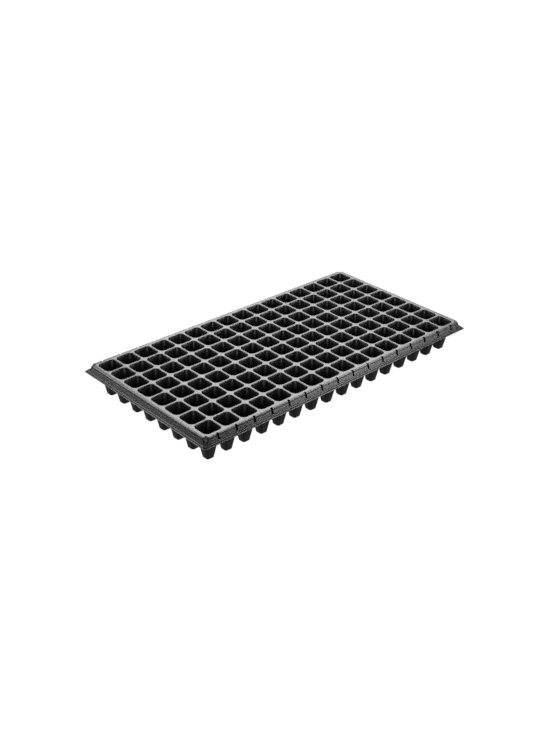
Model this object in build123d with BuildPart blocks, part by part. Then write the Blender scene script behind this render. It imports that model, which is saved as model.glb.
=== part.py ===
from build123d import *
import os

# Plug tray of 16 x 8 cells, one thin thermoformed sheet. Millimetres, +Z up,
# origin on the ground under the middle of the tray, +X along its length.

# cells
COLS = 16
ROWS = 8
PITCH = 32.4
MOUTH = 29.2
MOUTH_RADIUS = 7.3
MOUTH_LEG = 4.3
CELL_FLOOR = 11.6
FLOOR_LEG = 1.8
DRAIN_RADIUS = 4.5

# sheet: thinner where it is drawn down into the cells; the deck is a skin over a backing grid
HEIGHT = 48.0
SHEET = 0.9
WALL = 0.6
SKIN = 0.4

# outline, from the outer mouths outwards and down
MARGIN = 6.9
DECK_LEG = 6.0
SKIRT_RUN = 2.6
SKIRT_DROP = 9.0
FOOT_LEG = 4.0
LEDGE_WIDTH = 2.3
STEP_LEG = 3.0
STEP_DROP = 2.2
LIP_WIDTH = 2.0
LIP_THICKNESS = 1.0
RIM_RADIUS = 3.0

# a groove at every cell along the long sides and a short notch at each corner
GROOVE_WIDTH = 2.8
GROOVE_DEPTH = 3.0
NOTCH_WIDTH = 3.2
NOTCH_DEPTH = 2.2
NOTCH_DROP = 3.4

# levels
SKIN_Z = HEIGHT - SKIN
GRID_Z = HEIGHT - SHEET
LEDGE_Z = HEIGHT - SKIRT_DROP
LIP_Z = LEDGE_Z - STEP_DROP
RIM_Z = LIP_Z - LIP_THICKNESS
NOTCH_Z = HEIGHT - NOTCH_DROP

# half sizes of the block of mouths, the deck, the skirt's foot, the step and the rim
MOUTHS_X = ((COLS - 1) * PITCH + MOUTH) / 2
MOUTHS_Y = ((ROWS - 1) * PITCH + MOUTH) / 2
DECK_X = MOUTHS_X + MARGIN
DECK_Y = MOUTHS_Y + MARGIN
FOOT_X = DECK_X + SKIRT_RUN
FOOT_Y = DECK_Y + SKIRT_RUN
STEP_X = FOOT_X + LEDGE_WIDTH
STEP_Y = FOOT_Y + LEDGE_WIDTH
RIM_X = STEP_X + LIP_WIDTH
RIM_Y = STEP_Y + LIP_WIDTH

WEB = PITCH - MOUTH
BAR = MOUTH - 2 * MOUTH_LEG
ROOT_2 = 2**0.5
COLUMN_X = [(column - (COLS - 1) / 2) * PITCH for column in range(COLS)]
ROW_Y = [(row - (ROWS - 1) / 2) * PITCH for row in range(ROWS)]

os.makedirs("parts", exist_ok=True)


def octagon(half_x, half_y, leg):
    """Corners of a rectangle whose own corners are cut by leg, anticlockwise from +X."""
    return [
        (half_x, leg - half_y),
        (half_x, half_y - leg),
        (half_x - leg, half_y),
        (leg - half_x, half_y),
        (-half_x, half_y - leg),
        (-half_x, leg - half_y),
        (leg - half_x, -half_y),
        (half_x - leg, -half_y),
    ]


def block(lower, upper, low_z, high_z):
    """Flat-sided solid between two polygons with matching corners."""
    low = [Vector(x, y, low_z) for x, y in lower]
    high = [Vector(x, y, high_z) for x, y in upper]
    faces = [Face(Wire.make_polygon(low)), Face(Wire.make_polygon(high))]
    for a in range(len(low)):
        b = (a + 1) % len(low)
        faces.append(Face(Wire.make_polygon([low[a], low[b], high[b], high[a]])))
    return Solid(Shell(faces))


def panels(low, high, low_z, high_z, thickness):
    """Eight mitred flat panels around a sloping octagon, each (half_x, half_y, leg).

    A positive thickness lies outside the octagon and a negative one inside.
    Even numbers are the four sides and odd ones the four corners.
    """
    rise = high_z - low_z
    side_slope = (high[0] - low[0]) / rise
    corner_slope = (2 * side_slope - (high[2] - low[2]) / rise) / ROOT_2
    side_shift = thickness * (1 + side_slope**2) ** 0.5
    corner_shift = thickness * (1 + corner_slope**2) ** 0.5
    rings = []
    for half_x, half_y, leg in (low, high):
        moved_leg = leg + 2 * side_shift - ROOT_2 * corner_shift
        moved = octagon(half_x + side_shift, half_y + side_shift, moved_leg)
        rings.append((octagon(half_x, half_y, leg), moved))
    made = []
    for a in range(8):
        b = (a + 1) % 8
        lower, upper = [[near[a], near[b], far[b], far[a]] for near, far in rings]
        made.append(block(lower, upper, low_z, high_z))
    return made


def groove(width, depth, slope, foot_z):
    """Back, two sides and foot of a groove at a deck edge along X, outside towards -Y."""
    tall = GRID_Z - foot_z
    run = slope * tall
    inner = SHEET * (1 + slope**2) ** 0.5
    back = Pos(0, depth, foot_z) * Box(
        width + 2 * SHEET, SHEET, tall, align=(Align.CENTER, Align.MIN, Align.MIN)
    )
    sides = []
    for left in (-width / 2 - SHEET, width / 2):
        right = left + SHEET
        lower = [(left, inner - run), (right, inner - run), (right, depth), (left, depth)]
        upper = [(left, inner), (right, inner), (right, depth), (left, depth)]
        sides.append(block(lower, upper, foot_z, GRID_Z))
    foot = Pos(0, depth, foot_z) * Box(
        width, depth + run, SHEET, align=(Align.CENTER, Align.MAX, Align.MIN)
    )
    return back, sides, foot


# one cell, at the origin
cell_low = (CELL_FLOOR / 2, CELL_FLOOR / 2, FLOOR_LEG)
cell_high = (MOUTH / 2, MOUTH / 2, MOUTH_LEG)
cell_panels = panels(cell_low, cell_high, SHEET, GRID_Z, WALL)
cell_sides = Compound(children=cell_panels[0::2])
cell_corners = Compound(children=cell_panels[1::2])

with BuildPart() as cell_floor:
    with BuildSketch():
        Polygon(*octagon(CELL_FLOOR / 2 + WALL, CELL_FLOOR / 2 + WALL, FLOOR_LEG))
        Circle(DRAIN_RADIUS, mode=Mode.SUBTRACT)
    extrude(amount=SHEET)

# the cells, row by row from the front
for row, y in enumerate(ROW_Y, start=1):
    spots = [(x, y) for x in COLUMN_X]

    with BuildPart() as walls:
        with Locations(*spots):
            add(cell_sides)
    walls.part.label = f"cell_walls_{row}"
    export_step(walls.part, f"parts/cell_walls_{row}.step")

    with BuildPart() as corners:
        with Locations(*spots):
            add(cell_corners)
    corners.part.label = f"cell_corners_{row}"
    export_step(corners.part, f"parts/cell_corners_{row}.step")

    with BuildPart() as floors:
        with Locations(*spots):
            add(cell_floor.part)
    floors.part.label = f"cell_floors_{row}"
    export_step(floors.part, f"parts/cell_floors_{row}.step")

# places of the grooves: each faces outwards from the deck's edge
side_grooves = [
    Location((x, side * DECK_Y, 0), (0, 0, 90 + 90 * side)) for x in COLUMN_X for side in (-1, 1)
]
corner_x = DECK_X - DECK_LEG / 2
corner_y = DECK_Y - DECK_LEG / 2
corner_notches = [
    Location((corner_x, -corner_y, 0), (0, 0, 45)),
    Location((corner_x, corner_y, 0), (0, 0, 135)),
    Location((-corner_x, corner_y, 0), (0, 0, 225)),
    Location((-corner_x, -corner_y, 0), (0, 0, 315)),
]

# deck skin: the tray's top face with a rounded mouth over each cell
with BuildPart() as deck:
    with BuildSketch(Plane.XY.offset(SKIN_Z)):
        Polygon(*octagon(DECK_X, DECK_Y, DECK_LEG))
        with GridLocations(PITCH, PITCH, COLS, ROWS):
            RectangleRounded(MOUTH, MOUTH, MOUTH_RADIUS, mode=Mode.SUBTRACT)
        with Locations(*side_grooves):
            Rectangle(GROOVE_WIDTH, 2 * GROOVE_DEPTH, mode=Mode.SUBTRACT)
        with Locations(*corner_notches):
            Rectangle(NOTCH_WIDTH, 2 * NOTCH_DEPTH, mode=Mode.SUBTRACT)
    extrude(amount=SKIN)
deck.part.label = "deck"
export_step(deck.part, "parts/deck.step")

# backing grid under the skin: bars between neighbouring cells and a plate at each crossing
with BuildPart() as deck_rails:
    with BuildSketch(Plane.XY.offset(GRID_Z)):
        with GridLocations(PITCH, PITCH, COLS, ROWS - 1):
            Rectangle(BAR, WEB)
    extrude(amount=SKIN_Z - GRID_Z)
deck_rails.part.label = "deck_rails"
export_step(deck_rails.part, "parts/deck_rails.step")

with BuildPart() as deck_webs:
    with BuildSketch(Plane.XY.offset(GRID_Z)):
        with GridLocations(PITCH, PITCH, COLS - 1, ROWS):
            Rectangle(WEB, BAR)
    extrude(amount=SKIN_Z - GRID_Z)
deck_webs.part.label = "deck_webs"
export_step(deck_webs.part, "parts/deck_webs.step")

crossing = WEB / 2 + MOUTH_LEG
with BuildPart() as deck_crossings:
    with BuildSketch(Plane.XY.offset(GRID_Z)):
        with GridLocations(PITCH, PITCH, COLS - 1, ROWS - 1):
            Polygon(*octagon(crossing, crossing, MOUTH_LEG))
    extrude(amount=SKIN_Z - GRID_Z)
deck_crossings.part.label = "deck_crossings"
export_step(deck_crossings.part, "parts/deck_crossings.step")

# where the bars run into the margin: half a crossing each, and a triangle in each corner cell
tee = [(crossing, 0), (WEB / 2, MOUTH_LEG), (-WEB / 2, MOUTH_LEG), (-crossing, 0)]
tee_places = []
for x in COLUMN_X[1:]:
    tee_places.append(Location((x - PITCH / 2, -MOUTHS_Y, 0), (0, 0, 0)))
    tee_places.append(Location((x - PITCH / 2, MOUTHS_Y, 0), (0, 0, 180)))
for y in ROW_Y[1:]:
    tee_places.append(Location((MOUTHS_X, y - PITCH / 2, 0), (0, 0, 90)))
    tee_places.append(Location((-MOUTHS_X, y - PITCH / 2, 0), (0, 0, 270)))
with BuildPart() as deck_tees:
    with BuildSketch(Plane.XY.offset(GRID_Z)):
        with Locations(*tee_places):
            Polygon(*tee, align=None)
        for x in (-1, 1):
            for y in (-1, 1):
                Polygon(
                    (x * MOUTHS_X, y * MOUTHS_Y),
                    (x * (MOUTHS_X - MOUTH_LEG), y * MOUTHS_Y),
                    (x * MOUTHS_X, y * (MOUTHS_Y - MOUTH_LEG)),
                    align=None,
                )
    extrude(amount=SKIN_Z - GRID_Z)
deck_tees.part.label = "deck_tees"
export_step(deck_tees.part, "parts/deck_tees.step")

# margins: a strip along each side, teeth between the grooves and a plate at each corner
strip = MARGIN - GROOVE_DEPTH
with BuildPart() as deck_margins:
    with BuildSketch(Plane.XY.offset(GRID_Z)):
        with Locations((0, -MOUTHS_Y - strip / 2), (0, MOUTHS_Y + strip / 2)):
            Rectangle(2 * MOUTHS_X, strip)
        with Locations((-MOUTHS_X - MARGIN / 2, 0), (MOUTHS_X + MARGIN / 2, 0)):
            Rectangle(MARGIN, 2 * MOUTHS_Y)
    extrude(amount=SKIN_Z - GRID_Z)
deck_margins.part.label = "deck_margins"
export_step(deck_margins.part, "parts/deck_margins.step")

with BuildPart() as deck_teeth:
    with BuildSketch(Plane.XY.offset(GRID_Z)):
        with Locations((0, GROOVE_DEPTH / 2 - DECK_Y), (0, DECK_Y - GROOVE_DEPTH / 2)):
            Rectangle(2 * MOUTHS_X, GROOVE_DEPTH)
        with Locations(*side_grooves):
            Rectangle(GROOVE_WIDTH, 2 * GROOVE_DEPTH, mode=Mode.SUBTRACT)
    extrude(amount=SKIN_Z - GRID_Z)
deck_teeth.part.label = "deck_teeth"
export_step(deck_teeth.part, "parts/deck_teeth.step")

with BuildPart() as deck_corners:
    with BuildSketch(Plane.XY.offset(GRID_Z)):
        Polygon(*octagon(DECK_X, DECK_Y, DECK_LEG))
        Rectangle(2 * MOUTHS_X, 2 * DECK_Y, mode=Mode.SUBTRACT)
        Rectangle(2 * DECK_X, 2 * MOUTHS_Y, mode=Mode.SUBTRACT)
        with Locations(*corner_notches):
            Rectangle(NOTCH_WIDTH, 2 * NOTCH_DEPTH, mode=Mode.SUBTRACT)
    extrude(amount=SKIN_Z - GRID_Z)
deck_corners.part.label = "deck_corners"
export_step(deck_corners.part, "parts/deck_corners.step")

# skirt: sloping sides, the long ones broken by the grooves
skirt_low = (FOOT_X, FOOT_Y, FOOT_LEG)
skirt_high = (DECK_X, DECK_Y, DECK_LEG)
skirt = panels(skirt_low, skirt_high, LEDGE_Z, GRID_Z, -SHEET)
reach = 2 * (SKIRT_RUN + GROOVE_DEPTH)

for name, side in (("skirt_back", skirt[2]), ("skirt_front", skirt[6])):
    with BuildPart() as long_side:
        add(side)
        with Locations(*side_grooves):
            Box(GROOVE_WIDTH, reach, 3 * HEIGHT, mode=Mode.SUBTRACT)
    long_side.part.label = name
    export_step(long_side.part, f"parts/{name}.step")

for name, side in (("skirt_right", skirt[0]), ("skirt_left", skirt[4])):
    with BuildPart() as short_side:
        add(side)
    short_side.part.label = name
    export_step(short_side.part, f"parts/{name}.step")

with BuildPart() as skirt_corners:
    for corner in skirt[1::2]:
        add(corner)
    with Locations(Pos(0, 0, NOTCH_Z)):
        with Locations(*corner_notches):
            Box(
                NOTCH_WIDTH,
                2 * reach,
                HEIGHT,
                align=(Align.CENTER, Align.CENTER, Align.MIN),
                mode=Mode.SUBTRACT,
            )
skirt_corners.part.label = "skirt_corners"
export_step(skirt_corners.part, "parts/skirt_corners.step")

# the grooves' own backs, sides and feet
side_slope = SKIRT_RUN / (GRID_Z - LEDGE_Z)
corner_slope = ROOT_2 * (SKIRT_RUN + (DECK_LEG - FOOT_LEG) / 2) / (GRID_Z - LEDGE_Z)
side_back, side_cheeks, side_foot = groove(GROOVE_WIDTH, GROOVE_DEPTH, side_slope, LEDGE_Z)
notch_back, notch_cheeks, notch_foot = groove(NOTCH_WIDTH, NOTCH_DEPTH, corner_slope, NOTCH_Z)

with BuildPart() as groove_backs:
    with Locations(*side_grooves):
        add(side_back)
    with Locations(*corner_notches):
        add(notch_back)
groove_backs.part.label = "groove_backs"
export_step(groove_backs.part, "parts/groove_backs.step")

with BuildPart() as groove_cheeks:
    with Locations(*side_grooves):
        add(side_cheeks)
    with Locations(*corner_notches):
        add(notch_cheeks)
groove_cheeks.part.label = "groove_cheeks"
export_step(groove_cheeks.part, "parts/groove_cheeks.step")

with BuildPart() as groove_feet:
    with Locations(*side_grooves):
        add(side_foot)
    with Locations(*corner_notches):
        add(notch_foot)
groove_feet.part.label = "groove_feet"
export_step(groove_feet.part, "parts/groove_feet.step")

# the skirt's foot, where the sheet turns outwards into the ledge
foot = (FOOT_X, FOOT_Y, FOOT_LEG)
foot_panels = panels(foot, foot, LEDGE_Z - SHEET, LEDGE_Z, -SHEET)
with BuildPart() as skirt_foot_sides:
    add(foot_panels[0::2])
skirt_foot_sides.part.label = "skirt_foot_sides"
export_step(skirt_foot_sides.part, "parts/skirt_foot_sides.step")

with BuildPart() as skirt_foot_corners:
    add(foot_panels[1::2])
skirt_foot_corners.part.label = "skirt_foot_corners"
export_step(skirt_foot_corners.part, "parts/skirt_foot_corners.step")

# ledge around the skirt's foot
with BuildPart() as ledge_sides:
    with BuildSketch(Plane.XY.offset(LEDGE_Z - SHEET)):
        Rectangle(2 * (FOOT_X - FOOT_LEG), 2 * STEP_Y)
        Rectangle(2 * STEP_X, 2 * (FOOT_Y - FOOT_LEG))
        Rectangle(2 * FOOT_X, 2 * FOOT_Y, mode=Mode.SUBTRACT)
    extrude(amount=SHEET)
ledge_sides.part.label = "ledge_sides"
export_step(ledge_sides.part, "parts/ledge_sides.step")

with BuildPart() as ledge_corners:
    with BuildSketch(Plane.XY.offset(LEDGE_Z - SHEET)):
        Polygon(*octagon(STEP_X, STEP_Y, STEP_LEG))
        Polygon(*octagon(FOOT_X, FOOT_Y, FOOT_LEG), mode=Mode.SUBTRACT)
        Rectangle(2 * (FOOT_X - FOOT_LEG), 2 * STEP_Y, mode=Mode.SUBTRACT)
        Rectangle(2 * STEP_X, 2 * (FOOT_Y - FOOT_LEG), mode=Mode.SUBTRACT)
    extrude(amount=SHEET)
ledge_corners.part.label = "ledge_corners"
export_step(ledge_corners.part, "parts/ledge_corners.step")

# step down from the ledge to the lip
step = (STEP_X, STEP_Y, STEP_LEG)
step_panels = panels(step, step, RIM_Z, LEDGE_Z - SHEET, -SHEET)
with BuildPart() as step_sides:
    add(step_panels[0::2])
step_sides.part.label = "step_sides"
export_step(step_sides.part, "parts/step_sides.step")

with BuildPart() as step_corners:
    add(step_panels[1::2])
step_corners.part.label = "step_corners"
export_step(step_corners.part, "parts/step_corners.step")

# lip: the tray's outer edge
with BuildPart() as lip_sides:
    with BuildSketch(Plane.XY.offset(RIM_Z)):
        Rectangle(2 * (STEP_X - STEP_LEG), 2 * RIM_Y)
        Rectangle(2 * RIM_X, 2 * (STEP_Y - STEP_LEG))
        Rectangle(2 * STEP_X, 2 * STEP_Y, mode=Mode.SUBTRACT)
    extrude(amount=LIP_THICKNESS)
lip_sides.part.label = "lip_sides"
export_step(lip_sides.part, "parts/lip_sides.step")

with BuildPart() as lip_corners:
    with BuildSketch(Plane.XY.offset(RIM_Z)):
        RectangleRounded(2 * RIM_X, 2 * RIM_Y, RIM_RADIUS)
        Polygon(*octagon(STEP_X, STEP_Y, STEP_LEG), mode=Mode.SUBTRACT)
        Rectangle(2 * (STEP_X - STEP_LEG), 2 * RIM_Y, mode=Mode.SUBTRACT)
        Rectangle(2 * RIM_X, 2 * (STEP_Y - STEP_LEG), mode=Mode.SUBTRACT)
    extrude(amount=LIP_THICKNESS)
lip_corners.part.label = "lip_corners"
export_step(lip_corners.part, "parts/lip_corners.step")
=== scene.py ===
from math import atan2, cos, pi, radians, sin, tan

import bmesh
import bpy
from mathutils import Matrix, Vector


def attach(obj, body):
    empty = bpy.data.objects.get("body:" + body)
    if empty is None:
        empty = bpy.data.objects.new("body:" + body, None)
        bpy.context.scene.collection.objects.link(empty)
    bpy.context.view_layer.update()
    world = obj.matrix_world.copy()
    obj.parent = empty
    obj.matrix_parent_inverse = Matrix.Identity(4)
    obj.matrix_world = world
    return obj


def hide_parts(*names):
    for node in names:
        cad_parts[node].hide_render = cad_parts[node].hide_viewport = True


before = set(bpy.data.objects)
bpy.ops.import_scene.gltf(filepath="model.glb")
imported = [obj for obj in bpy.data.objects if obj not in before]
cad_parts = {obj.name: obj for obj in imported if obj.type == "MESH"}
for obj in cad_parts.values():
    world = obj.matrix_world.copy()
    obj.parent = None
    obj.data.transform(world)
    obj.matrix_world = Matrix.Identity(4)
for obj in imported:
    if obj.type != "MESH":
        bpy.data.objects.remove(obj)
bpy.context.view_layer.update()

MM = 0.001

# ---------------------------------------------------------------- sizes, in millimetres

COLS, ROWS, PITCH = 16, 8, 32.4
MOUTH = 29.2
HEIGHT = 48.0
SHEET = 0.7  # thickness of the plastic
WELD = 0.01  # points nearer than this are one
SMOOTH_ANGLE = radians(50)

# a cell: the mouth's rounded lip, the tapered wall and the floor
LIP_HALF = 15.35  # half width where the flat web starts to turn down
LIP_ROUND = 0.9
LIP_CORNER = 8.0
FLOOR_HALF = 5.8
FLOOR_CORNER = 3.2
FLOOR_ROUND = 1.2
DRAIN_RADIUS = 4.5
CORNER_STEPS = 8
LIP_STEPS = 5
WALL_STEPS = 4
FLOOR_STEPS = 4

# the deck's margin and everything outside it
MARGIN = 6.9
SKIRT_DROP = 9.0
STEP_DROP = 2.2
RIM_RUN = 6.9  # from the deck's edge to the lip's
DECK_X = (COLS - 1) * PITCH / 2 + MOUTH / 2 + MARGIN
DECK_Y = (ROWS - 1) * PITCH / 2 + MOUTH / 2 + MARGIN
DECK_CORNER = 7.0
RIM_CORNER = 3.2
ROUND_STEPS = 30
LEDGE = HEIGHT - SKIRT_DROP
LIP = LEDGE - STEP_DROP

# grooves in the long sides, one per cell, and the short notches in the deck's corners: each is
# at full depth within its flat and gone at its edge, both from its middle
GROOVE_DEPTH = 3.0
GROOVE_FLAT = 1.4
GROOVE_EDGE = 1.8
GROOVE_PLACES = (0.0, 0.7, 1.2, 1.4, 1.47, 1.54, 1.6, 1.67, 1.74, 1.8, 2.2)
NOTCH_DEPTH = 3.2
NOTCH_FLAT = radians(16)
NOTCH_EDGE = radians(21)

# the studio, in metres
FLOOR_PROFILE = [(4.0, 0.0), (4.8, 0.08), (5.4, 0.35), (5.8, 0.85), (6.0, 1.6), (6.0, 9.0)]
FLOOR_SIDES = 96
LIGHT_AIM = (0.0, 0.0, 0.04)


# ---------------------------------------------------------------- the moulded plastic


def noise(nodes, links, vector, scale, detail=3.0, roughness=0.55):
    """A noise texture over the object's own coordinates, in repeats per metre."""
    texture = nodes.new("ShaderNodeTexNoise")
    texture.inputs["Scale"].default_value = scale
    texture.inputs["Detail"].default_value = detail
    texture.inputs["Roughness"].default_value = roughness
    links.new(vector, texture.inputs["Vector"])
    return texture.outputs["Fac"]


def ramp(nodes, links, value, stops):
    """A colour ramp through (place, colour) stops."""
    node = nodes.new("ShaderNodeValToRGB")
    elements = node.color_ramp.elements
    for index, (place, colour) in enumerate(stops):
        element = elements[index] if index < 2 else elements.new(place)
        element.position = place
        element.color = (*colour, 1.0)
    links.new(value, node.inputs["Fac"])
    return node.outputs["Color"]


def moulded_plastic():
    """Black sheet plastic: semi-matt, mottled by the mould, dusty in faint clouds."""
    material = bpy.data.materials.new("moulded_plastic")
    material.use_nodes = True
    nodes, links = material.node_tree.nodes, material.node_tree.links
    shader = nodes["Principled BSDF"]
    shader.inputs["IOR"].default_value = 1.55
    place = nodes.new("ShaderNodeTexCoord").outputs["Object"]

    clouds = noise(nodes, links, place, 22.0, 4.0)
    colour = ramp(nodes, links, clouds, [
        (0.3, (0.002, 0.002, 0.0021)),
        (0.55, (0.004, 0.004, 0.0041)),
        (0.75, (0.008, 0.008, 0.0081)),
    ])
    links.new(colour, shader.inputs["Base Color"])

    mottle = noise(nodes, links, place, 420.0, 3.0)
    gloss = ramp(nodes, links, mottle, [
        (0.3, (0.25, 0.25, 0.25)),
        (0.7, (0.37, 0.37, 0.37)),
    ])
    links.new(gloss, shader.inputs["Roughness"])

    grain = noise(nodes, links, place, 1100.0, 2.0)
    coarse = nodes.new("ShaderNodeBump")
    coarse.inputs["Strength"].default_value = 0.25
    coarse.inputs["Distance"].default_value = 0.0004
    links.new(mottle, coarse.inputs["Height"])
    fine = nodes.new("ShaderNodeBump")
    fine.inputs["Strength"].default_value = 0.25
    fine.inputs["Distance"].default_value = 0.00015
    links.new(grain, fine.inputs["Height"])
    links.new(coarse.outputs["Normal"], fine.inputs["Normal"])
    links.new(fine.outputs["Normal"], shader.inputs["Normal"])
    return material


# ---------------------------------------------------------------- mesh helpers


def sheet_piece(name, points, faces, material, nodes):
    """A closed piece of sheet from its upper surface, standing for the named CAD nodes."""
    mesh = bpy.data.meshes.new(name)
    mesh.from_pydata([Vector(point) * MM for point in points], [], faces)
    bm = bmesh.new()
    bm.from_mesh(mesh)
    bmesh.ops.remove_doubles(bm, verts=bm.verts, dist=WELD * MM)
    bm.normal_update()
    bm.to_mesh(mesh)
    bm.free()
    piece = bpy.data.objects.new(name, mesh)
    bpy.context.collection.objects.link(piece)
    solid = piece.modifiers.new("thickness", "SOLIDIFY")
    solid.thickness = SHEET * MM
    solid.offset = -1.0
    solid.use_quality_normals = True
    evaluated = piece.evaluated_get(bpy.context.evaluated_depsgraph_get())
    shape = bpy.data.meshes.new_from_object(evaluated)
    piece.modifiers.clear()
    piece.data = shape
    shape.shade_smooth()
    shape.set_sharp_from_angle(angle=SMOOTH_ANGLE)
    shape.materials.clear()
    shape.materials.append(material)
    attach(piece, "root")
    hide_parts(*nodes)


def ring_faces(rings, size):
    """Quads between neighbouring closed rings of the same number of points."""
    faces = []
    for ring in range(rings - 1):
        for a in range(size):
            b = (a + 1) % size
            low, high = ring * size, (ring + 1) * size
            faces.append((low + a, low + b, high + b, high + a))
    return faces


# ---------------------------------------------------------------- cells


def corner_angles():
    """Angles of one ring's points, corner by corner; None is the middle of a side."""
    angles = []
    for quarter in range(4):
        angles += [(quarter, step / CORNER_STEPS * pi / 2) for step in range(CORNER_STEPS + 1)]
        angles.append((quarter, None))
    return angles


def turned(x, y, quarter):
    """The point turned by a number of right angles."""
    for _ in range(quarter):
        x, y = -y, x
    return x, y


def square_ring(half, corner, z):
    """A rounded square of the cell."""
    centre = half - corner
    ring = []
    for quarter, angle in corner_angles():
        if angle is None:
            x, y = 0.0, half
        else:
            x, y = centre + corner * cos(angle), centre + corner * sin(angle)
        ring.append((*turned(x, y, quarter), z))
    return ring


def tile_ring(z):
    """The cell's square share of the deck, with points opposite those of the rounded mouth."""
    half = PITCH / 2
    centre = LIP_HALF - LIP_CORNER
    reach = half - centre
    ring = []
    for quarter, angle in corner_angles():
        if angle is None:
            x, y = 0.0, half
        elif angle <= pi / 4:
            x, y = half, centre + reach * tan(angle)
        else:
            x, y = centre + reach * tan(pi / 2 - angle), half
        ring.append((*turned(x, y, quarter), z))
    return ring


def drain_ring(z):
    """The drain hole's edge."""
    ring = []
    for quarter, angle in corner_angles():
        turn = pi / 2 if angle is None else angle
        ring.append((*turned(DRAIN_RADIUS * cos(turn), DRAIN_RADIUS * sin(turn), quarter), z))
    return ring


def cell_rings():
    """All rings of one cell, from the deck down to the drain hole."""
    floor_z = SHEET
    slope = atan2(LIP_HALF - LIP_ROUND - FLOOR_HALF, HEIGHT - floor_z)
    rings = [tile_ring(HEIGHT), square_ring(LIP_HALF, LIP_CORNER, HEIGHT)]
    for step in range(1, LIP_STEPS + 1):
        turn = (pi / 2 - slope) * step / LIP_STEPS
        inward = LIP_ROUND * sin(turn)
        rings.append(square_ring(
            LIP_HALF - inward, LIP_CORNER - inward, HEIGHT - LIP_ROUND * (1 - cos(turn))
        ))
    top_half = LIP_HALF - inward
    top_corner = LIP_CORNER - inward
    top_z = HEIGHT - LIP_ROUND * (1 - cos(turn))

    tangent = FLOOR_ROUND * tan((pi / 2 - slope) / 2)
    foot_half = FLOOR_HALF + tangent * sin(slope)
    foot_z = floor_z + tangent * cos(slope)
    for step in range(1, WALL_STEPS + 1):
        part = step / WALL_STEPS
        rings.append(square_ring(
            top_half + (foot_half - top_half) * part,
            top_corner + (FLOOR_CORNER - top_corner) * part,
            top_z + (foot_z - top_z) * part,
        ))
    centre_half = FLOOR_HALF - tangent
    centre_z = floor_z + FLOOR_ROUND
    for step in range(1, FLOOR_STEPS + 1):
        turn = slope + (pi / 2 - slope) * step / FLOOR_STEPS
        half = centre_half + FLOOR_ROUND * cos(turn)
        rings.append(square_ring(
            half, FLOOR_CORNER - (foot_half - half), centre_z - FLOOR_ROUND * sin(turn)
        ))
    rings.append(drain_ring(floor_z))
    return rings


def cell_row(row, material):
    """One row of cells with their share of the deck."""
    rings = cell_rings()
    size = len(rings[0])
    template = [point for ring in rings for point in ring]
    quads = ring_faces(len(rings), size)
    points, faces = [], []
    y = (row - (ROWS + 1) / 2) * PITCH
    for column in range(COLS):
        x = (column - (COLS - 1) / 2) * PITCH
        start = len(points)
        points += [(px + x, py + y, pz) for px, py, pz in template]
        faces += [tuple(start + index for index in quad) for quad in quads]
    nodes = [f"cell_walls_{row}", f"cell_corners_{row}", f"cell_floors_{row}"]
    sheet_piece(f"cells_row_{row}", points, faces, material, nodes)


# ---------------------------------------------------------------- margin, skirt and rim

# outwards from the deck's edge: distance, height, and how much of a side groove and of a
# corner notch is felt there; below the notch a negative share bulges outwards
EDGE_PROFILE = [
    (-1.5, HEIGHT, 1.0, 1.0),
    (-0.95, HEIGHT - 0.1, 1.0, 1.0),
    (-0.5, HEIGHT - 0.38, 1.0, 1.0),
    (-0.15, HEIGHT - 0.85, 1.0, 1.0),
    (0.1, HEIGHT - 1.5, 1.0, 1.0),
    (0.3, HEIGHT - 2.2, 1.0, 1.0),
    (0.45, HEIGHT - 2.8, 1.0, 1.0),
    (0.52, HEIGHT - 3.0, 1.0, 0.85),
    (0.6, HEIGHT - 3.25, 1.0, 0.0),
    (0.7, HEIGHT - 3.55, 1.0, -0.15),
    (0.85, HEIGHT - 4.0, 1.0, 0.1),
    (1.1, HEIGHT - 4.6, 1.0, 0.65),
    (1.55, LEDGE + 3.0, 1.0, 0.7),
    (1.95, LEDGE + 1.9, 1.0, 0.65),
    (2.15, LEDGE + 1.3, 1.0, 0.4),
    (2.3, LEDGE + 0.9, 0.6, 0.15),
    (2.42, LEDGE + 0.5, 0.15, 0.0),
    (2.52, LEDGE + 0.2, 0.0, 0.0),
    (2.6, LEDGE + 0.03, 0.0, 0.0),
    (2.75, LEDGE, 0.0, 0.0),
    (3.9, LEDGE - 0.02, 0.0, 0.0),
    (4.3, LEDGE - 0.1, 0.0, 0.0),
    (4.6, LEDGE - 0.3, 0.0, 0.0),
    (4.8, LEDGE - 0.6, 0.0, 0.0),
    (4.86, LEDGE - 0.95, 0.0, 0.0),
    (4.8, LIP + 0.4, 0.0, 0.0),
    (4.8, LIP + 0.06, 0.0, 0.0),
    (4.95, LIP, 0.0, 0.0),
    (5.9, LIP - 0.01, 0.0, 0.0),
    (6.3, LIP - 0.08, 0.0, 0.0),
    (6.6, LIP - 0.24, 0.0, 0.0),
    (6.82, LIP - 0.5, 0.0, 0.0),
    (RIM_RUN, LIP - 0.95, 0.0, 0.0),
]


def fade(distance, flat, edge):
    """One inside the flat, nought past the edge, and a smooth fall between."""
    if distance <= flat:
        return 1.0
    if distance >= edge:
        return 0.0
    return 0.5 + 0.5 * cos(pi * (distance - flat) / (edge - flat))


def side_stations(cells, grooved):
    """Places along a side and how much of a groove there is at each."""
    spread = GROOVE_PLACES if grooved else (0.0,)
    stations = []
    for cell in range(cells):
        centre = (cell - (cells - 1) / 2) * PITCH
        offsets = sorted({side * offset for offset in spread for side in (-1, 1)})
        stations += [(centre + o, fade(abs(o), GROOVE_FLAT, GROOVE_EDGE) if grooved else 0.0)
                     for o in offsets]
        if cell < cells - 1:
            stations.append((centre + PITCH / 2, 0.0))
    return stations


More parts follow.
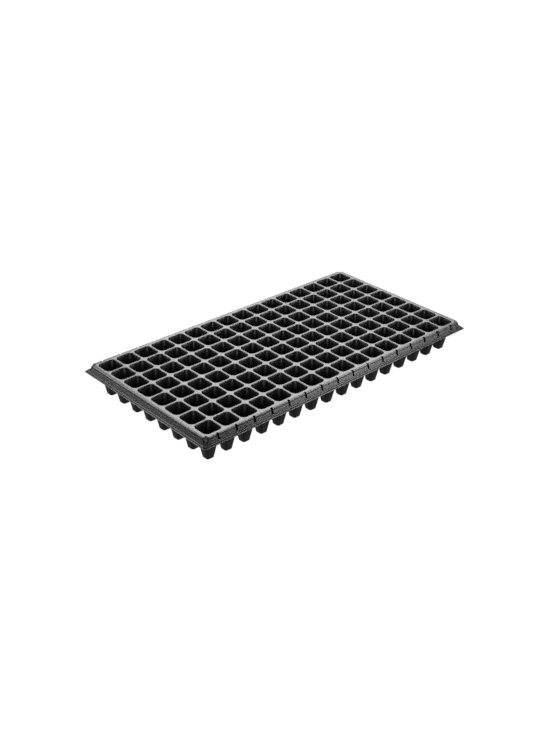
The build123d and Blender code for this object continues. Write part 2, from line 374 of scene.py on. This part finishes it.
def outline(run, groove_share, notch_share):
    """The closed line at a distance outside the deck's edge, anticlockwise from +X's side."""
    corner = DECK_CORNER + (RIM_CORNER - DECK_CORNER) * max(run, 0.0) / RIM_RUN
    line = []
    for quarter in range(4):
        grooved = quarter % 2 == 1
        along, across = (DECK_X, DECK_Y) if grooved else (DECK_Y, DECK_X)
        cells = COLS if grooved else ROWS
        depth = groove_share * (GROOVE_DEPTH + run)
        for place, groove in side_stations(cells, grooved):
            line.append(turned(across + run - depth * groove, place, quarter))
        centre_x, centre_y = across + run - corner, along + run - corner
        for step in range(ROUND_STEPS + 1):
            angle = step / ROUND_STEPS * pi / 2
            depth = NOTCH_DEPTH * fade(abs(angle - pi / 4), NOTCH_FLAT, NOTCH_EDGE)
            reach = corner - notch_share * depth
            point = (centre_x + reach * cos(angle), centre_y + reach * sin(angle))
            line.append(turned(*point, quarter))
    return line


def inner_line():
    """The edge of the block of cells, with points opposite those of the outline."""
    block_x, block_y = COLS * PITCH / 2, ROWS * PITCH / 2
    line = []
    for quarter in range(4):
        grooved = quarter % 2 == 1
        along, across = (block_x, block_y) if grooved else (block_y, block_x)
        cells = COLS if grooved else ROWS
        stations = side_stations(cells, grooved)
        line += [turned(across, place, quarter) for place, _ in stations]
        line += [turned(across, along, quarter)] * (ROUND_STEPS + 1)
    return line


def border(material):
    """The deck's margin with the grooved skirt, the ledge, the step and the lip."""
    rings = [[(x, y, HEIGHT) for x, y in inner_line()]]
    for run, z, groove_share, notch_share in EDGE_PROFILE:
        rings.append([(x, y, z) for x, y in outline(run, groove_share, notch_share)])
    size = len(rings[0])
    points = [point for ring in rings for point in ring]
    faces = [tuple(reversed(quad)) for quad in ring_faces(len(rings), size)]
    own = ("deck", "skirt", "groove", "ledge", "step", "lip")
    nodes = [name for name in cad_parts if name.startswith(own)]
    sheet_piece("border", points, faces, material, nodes)


# ---------------------------------------------------------------- studio


def floor():
    """A plain glowing white floor that curves up into a wall and isn't mirrored in the plastic."""
    turns = [2 * pi * step / FLOOR_SIDES for step in range(FLOOR_SIDES)]
    points = [
        (radius * cos(turn), radius * sin(turn), height)
        for radius, height in FLOOR_PROFILE
        for turn in turns
    ]
    faces = [tuple(range(FLOOR_SIDES))] + ring_faces(len(FLOOR_PROFILE), FLOOR_SIDES)
    mesh = bpy.data.meshes.new("floor")
    mesh.from_pydata(points, [], faces)
    mesh.shade_smooth()
    material = bpy.data.materials.new("pale_floor")
    material.use_nodes = True
    shader = material.node_tree.nodes["Principled BSDF"]
    shader.inputs["Base Color"].default_value = (0.92, 0.92, 0.92, 1.0)
    shader.inputs["Roughness"].default_value = 0.9
    shader.inputs["Specular IOR Level"].default_value = 0.1
    shader.inputs["Emission Color"].default_value = (1.0, 1.0, 1.0, 1.0)
    shader.inputs["Emission Strength"].default_value = 1.0
    mesh.materials.append(material)
    cove = bpy.data.objects.new("floor", mesh)
    cove.visible_diffuse = False
    cove.visible_glossy = False
    cove.visible_shadow = False
    bpy.context.collection.objects.link(cove)


def area_light(name, place, size, power):
    """A square softbox aimed at the tray."""
    light = bpy.data.lights.new(name, "AREA")
    light.shape = "SQUARE"
    light.size = size
    light.energy = power
    lamp = bpy.data.objects.new(name, light)
    lamp.location = place
    lamp.rotation_euler = (Vector(LIGHT_AIM) - Vector(place)).to_track_quat("-Z", "Y").to_euler()
    bpy.context.collection.objects.link(lamp)


def surroundings():
    """A room that is dark at the horizon and paler below it and overhead."""
    world = bpy.data.worlds.new("studio")
    world.use_nodes = True
    nodes, links = world.node_tree.nodes, world.node_tree.links
    place = nodes.new("ShaderNodeTexCoord").outputs["Generated"]
    height = nodes.new("ShaderNodeSeparateXYZ")
    links.new(place, height.inputs["Vector"])
    colour = ramp(nodes, links, height.outputs["Z"], [
        (0.0, (0.18, 0.18, 0.18)),
        (0.04, (0.02, 0.02, 0.02)),
        (0.3, (0.04, 0.04, 0.04)),
        (0.65, (0.12, 0.12, 0.12)),
        (1.0, (0.6, 0.6, 0.6)),
    ])
    links.new(colour, nodes["Background"].inputs["Color"])
    bpy.context.scene.world = world


def studio():
    """A broad light behind, two for the rounded edges, two low ones and one by the camera."""
    surroundings()
    area_light("behind", (1.1, 1.2, 1.3), 1.3, 36.0)
    area_light("front_edges", (1.1, -0.9, 1.2), 0.8, 28.0)
    area_light("left_edges", (-0.9, 1.2, 1.15), 0.8, 24.0)
    area_light("front_right", (1.1, -1.5, 0.32), 0.45, 10.0)
    area_light("back_left", (-1.5, 1.2, 0.28), 0.45, 5.8)
    area_light("by_camera", (-1.35, -1.4, 0.62), 0.6, 10.0)
    bpy.context.scene.view_settings.view_transform = "Standard"


def camera():
    """The photograph's angle: over the left end of the front side."""
    azimuth, elevation, roll = radians(-42.947), radians(28.965), radians(0.912)
    target = Vector((-0.0613, -0.0478, HEIGHT * MM))
    back = Vector((sin(azimuth) * cos(elevation), -cos(azimuth) * cos(elevation), sin(elevation)))
    right = (-back).cross(Vector((0, 0, 1))).normalized()
    up = right.cross(-back)
    turned_right = right * cos(roll) + up * sin(roll)
    turned_up = up * cos(roll) - right * sin(roll)
    data = bpy.data.cameras.new("camera")
    data.lens = 51.15
    data.clip_end = 50.0
    eye = bpy.data.objects.new("camera", data)
    eye.matrix_world = Matrix.Translation(target + back * 1.5453) @ Matrix(
        (turned_right, turned_up, back)
    ).transposed().to_4x4()
    bpy.context.collection.objects.link(eye)
    bpy.context.scene.camera = eye


plastic = moulded_plastic()
for row in range(1, ROWS + 1):
    cell_row(row, plastic)
border(plastic)
floor()
studio()
camera()
